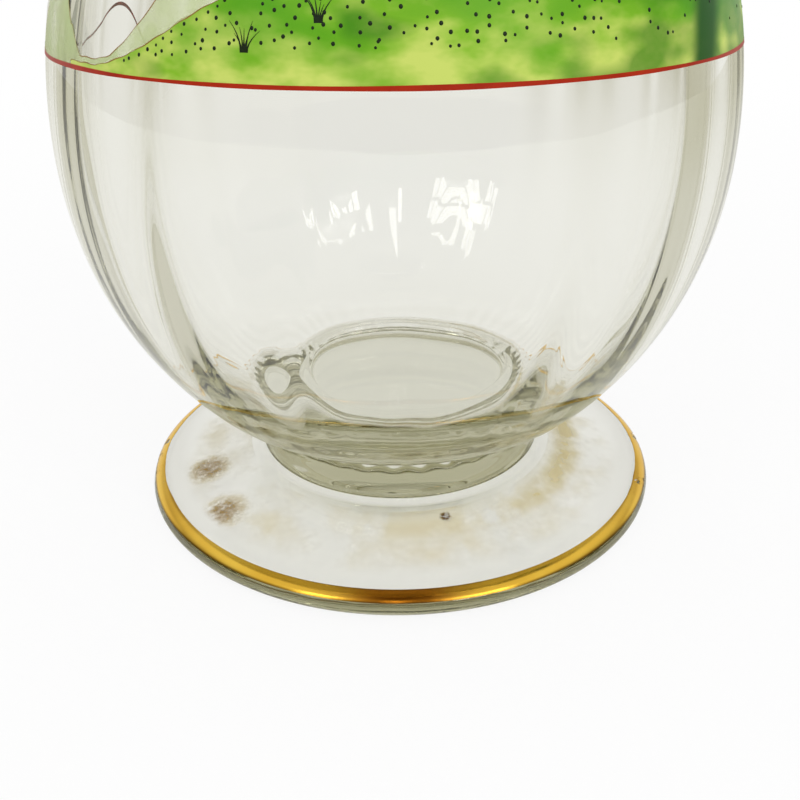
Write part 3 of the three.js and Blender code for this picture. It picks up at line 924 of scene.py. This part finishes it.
def stopper_outline():
    """From the peg's end up the taper, under the shoulder, round the ball and over the knob."""
    peg = [point(0, peg_bottom), point(peg_end * 0.5, peg_bottom)]
    peg += arc(peg_end - peg_chamfer, peg_bottom + peg_chamfer, peg_chamfer, -90, 0, 6)
    peg += [point(peg_top - seat_taper * d, seat_top - d) for d in np.linspace(seat_length, 0, 8)]
    peg.append(point(peg_top, under))
    edge = arc(stopper_shoulder_radius - edge_rounding, under + edge_rounding, edge_rounding, -90, 0, 6)
    waist = curve([edge[-1][:2], (stopper_shoulder_radius, shoulder_top),
                   (stopper_waist_radius, shoulder_top), (stopper_waist_radius, waist_top)], 12)[1:-1]
    ball = [point(r, z, ball_rib * r / ball_radius) for r, z, *_ in
            arc(0, ball_centre, ball_radius, waist_angle, knob_angle, 60)]
    knob = arc(0, knob_centre, knob_radius - 0.05, -knob_sink, 89, 18)[1:]
    return peg + edge + waist + ball + knob + [point(0, knob_centre + knob_radius)]


stopper_glass = turned("stopper_glass", stopper_outline())
dress_glass(stopper_glass, peg_bottom + peg_chamfer, seat_top, peg_top + 0.2)
half_band = degrees(stopper_gilt_width / 2 / ball_radius)
stopper_gold = edge_film("stopper_gilding_film", 0, ball_centre, ball_radius, -half_band, half_band, 4,
                         ball_rib)
stopper_gold.data.materials.append(gold)
for piece, node, slot in ((stopper_glass, "stopper", "clear_glass"),
                          (stopper_gold, "stopper_gilding", "gilding")):
    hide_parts(node)
    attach(piece, "loose_stopper")

# %% [markdown]
# Glass shows what stands round it. The picture was taken on a white sheet in a room with windows
# behind the camera: the sheet shows straight through the glass, light that was mirrored inside the
# glass comes from the greyer room, and the windows give small broken lights on the bowl. The sheet
# is white to the camera too, and it keeps the soft shadow under the foot.

# %% White sheet
sheet_radius, sheet_sides = 2.0, 96
shadow_from, shadow_reach, glow_at_foot, glow_to_camera = 0.07, 0.5, 0.78, 0.88
corners = [(sheet_radius * sin(2 * pi * k / sheet_sides),
            -sheet_radius * cos(2 * pi * k / sheet_sides), 0) for k in range(sheet_sides)]
floor_mesh = bpy.data.meshes.new("white_sheet")
floor_mesh.from_pydata(corners, [], [tuple(range(sheet_sides))])
floor = scene_object("white_sheet", floor_mesh)
floor.location.z = -0.03 * MM
print("sheet radius in mm:", sheet_radius / MM)

# %% What the glass finds on the sheet
white, sheet_through = (1, 1, 1, 1), linear("F7F7F2")
room_grey, corner_grey = linear("C8C6B2"), linear("C6C4B2")


def corner_share(tree, direction):
    """How far a direction points to a dim corner: fully right behind, and less than half left behind.

    The corners in front have the shares of the ones across from them.
    """
    axes = add(tree, "SeparateXYZ", Vector=direction)
    product = add(tree, "Math", times, _0=axes.outputs["X"], _1=axes.outputs["Y"])
    right = add(tree, "MapRange", smooth, Value=product, From_Min=0.12, From_Max=0.4)
    left = add(tree, "MapRange", smooth, Value=product, From_Min=-0.15, From_Max=-0.45, To_Max=0.45)
    return add(tree, "Math", larger, _0=right, _1=left)


paper, tree, place = new_material("white_paper")
path = add(tree, "LightPath")
from_middle = add(tree, "VectorMath", {"operation": "LENGTH"}, _0=place)
mirrored = add(tree, "Math", smaller, _0=path.outputs["Glossy Depth"], _1=1.0)
mirrored_inside = add(tree, "Math", times, _0=mirrored, _1=path.outputs["Is Transmission Ray"])
compass = add(tree, "VectorMath", {"operation": "NORMALIZE"}, _0=place)
far = add(tree, "MapRange", smooth, Value=from_middle, From_Min=0.1, From_Max=0.8)
towards_corner = add(tree, "Math", times, _0=corner_share(tree, compass), _1=far)
straight = add(tree, "Mix", colours, _0=towards_corner, _6=sheet_through, _7=corner_grey)
through = add(tree, "Mix", colours, _0=mirrored_inside, _6=straight, _7=room_grey)
paper_colour = add(tree, "Mix", colours, _0=path.outputs["Is Camera Ray"], _6=through, _7=white)
print("sheet's colour nodes:", len(tree.nodes))

# %% The sheet's glow and its shadow
open_sheet = add(tree, "MapRange", smooth, Value=from_middle, From_Min=shadow_from, From_Max=shadow_reach)
least_glow = add(tree, "MapRange", Value=path.outputs["Is Camera Ray"], To_Min=glow_at_foot,
                 To_Max=glow_to_camera)
glow_share = add(tree, "MapRange", Value=open_sheet, To_Min=least_glow, To_Max=1.0)
glow_share = add(tree, "Math", {"operation": "SUBTRACT", "use_clamp": True}, _0=glow_share,
                 _1=path.outputs["Is Diffuse Ray"])
fibres = add(tree, "BsdfDiffuse", Color=(0.9, 0.9, 0.9, 1))
glow = add(tree, "Emission", Color=paper_colour, Strength=1.0)
add(tree, "OutputMaterial", Surface=add(tree, "MixShader", _0=glow_share, _1=fibres, _2=glow))
floor.data.materials.append(paper)
print("sheet's nodes:", len(tree.nodes))

# %% [markdown]
# The world is the rest of the room. Camera rays find it white. Straight looks through the glass find
# the white sheet, a little darker towards the corners of the room. Light that was mirrored inside
# the glass finds the room's grey, and a deeper grey in front, on the camera's side. The outer skin
# mirrors white from overhead and from low down behind, and a dim brown from the rest.

# %% World
world = bpy.data.worlds.new("studio")
world.use_nodes = True
bpy.context.scene.world = world
tree = world.node_tree
tree.nodes.clear()
path = add(tree, "LightPath")
direction = add(tree, "TexCoord").outputs["Generated"]
axes = add(tree, "SeparateXYZ", Vector=direction)
straight = add(tree, "Mix", colours, _0=corner_share(tree, direction), _6=sheet_through, _7=corner_grey)
mirrored = add(tree, "Math", smaller, _0=path.outputs["Glossy Depth"], _1=1.0)
in_front = add(tree, "MapRange", smooth, Value=axes.outputs["Y"], From_Min=-0.35, From_Max=-0.75)
inside_tone = add(tree, "Mix", colours, _0=in_front, _6=room_grey, _7=linear("6E6A58"))
seen_through = add(tree, "Mix", colours, _0=mirrored, _6=straight, _7=inside_tone)
print("nodes for looks through the glass:", len(tree.nodes))

# %% What the outer skin mirrors
aside = add(tree, "Math", size_only, _0=axes.outputs["X"])
aside = add(tree, "MapRange", smooth, Value=aside, From_Min=0.06, From_Max=0.3)
overhead = add(tree, "MapRange", smooth, Value=axes.outputs["Z"], From_Min=0.2, From_Max=0.75)
overhead = add(tree, "Math", times, _0=overhead, _1=aside)
behind = add(tree, "MapRange", smooth, Value=axes.outputs["Y"], From_Min=0.1, From_Max=0.5)
below = add(tree, "MapRange", smooth, Value=axes.outputs["Z"], From_Min=0.6, From_Max=0.35)
behind = add(tree, "Math", times, _0=behind, _1=below)
open_room = add(tree, "Math", larger, _0=overhead, _1=behind)
outside_tone = add(tree, "Mix", colours, _0=open_room, _6=linear("5A4630"), _7=white)
seen = add(tree, "Mix", colours, _0=path.outputs["Is Transmission Ray"], _6=outside_tone, _7=seen_through)
lit = add(tree, "Mix", colours, _0=path.outputs["Is Diffuse Ray"], _6=seen, _7=(0.84, 0.84, 0.84, 1))
shown = add(tree, "Mix", colours, _0=path.outputs["Is Camera Ray"], _6=lit, _7=white)
add(tree, "OutputWorld", Surface=add(tree, "Background", Color=shown, Strength=1.0))
print("world nodes:", len(tree.nodes))

# %% [markdown]
# Each window is a few panes of light behind the camera. The bowl's far wall mirrors them as narrow
# broken patches: the ribs on its inside cut them up.

# %% Windows
window_distance = 1.0


def window(name, azimuth, elevation, columns, rows, pane, bar, brightness):
    """Panes of light that face the bowl. The angles are in degrees and the sizes in metres."""
    turn, lift = radians(azimuth), radians(elevation)
    away = Vector((sin(turn) * cos(lift), -cos(turn) * cos(lift), sin(lift)))
    facing = away.to_track_quat("Z", "Y")
    for column in range(columns):
        for row in range(rows):
            data = bpy.data.lights.new(f"{name}_pane_{column}_{row}", "AREA")
            data.shape = "RECTANGLE"
            data.size, data.size_y = pane
            data.energy = brightness * pi * pane[0] * pane[1]
            lamp = scene_object(data.name, data)
            shift = Vector(((column - (columns - 1) / 2) * (pane[0] + bar),
                            (row - (rows - 1) / 2) * (pane[1] + bar), 0))
            lamp.location = Vector((0, 0, equator * MM)) + away * window_distance + facing @ shift
            lamp.rotation_euler = facing.to_euler()


window("left_window", -38, 37, columns=2, rows=2, pane=(0.1, 0.16), bar=0.03, brightness=5)
window("right_window", 34, 33, columns=3, rows=2, pane=(0.12, 0.16), bar=0.03, brightness=6)
window("door_light", -3, 42, columns=1, rows=1, pane=(0.07, 0.3), bar=0, brightness=6)

# %% [markdown]
# Light that enters the thick heel is mirrored inside the glass many times before it comes out, so
# the render follows it for many bounces. Too few would leave false black patches low on the bowl.

bpy.context.scene.view_settings.view_transform = "Standard"
cycles, bounces = bpy.context.scene.cycles, 80
cycles.max_bounces = bounces
cycles.transmission_bounces = bounces
cycles.glossy_bounces = bounces
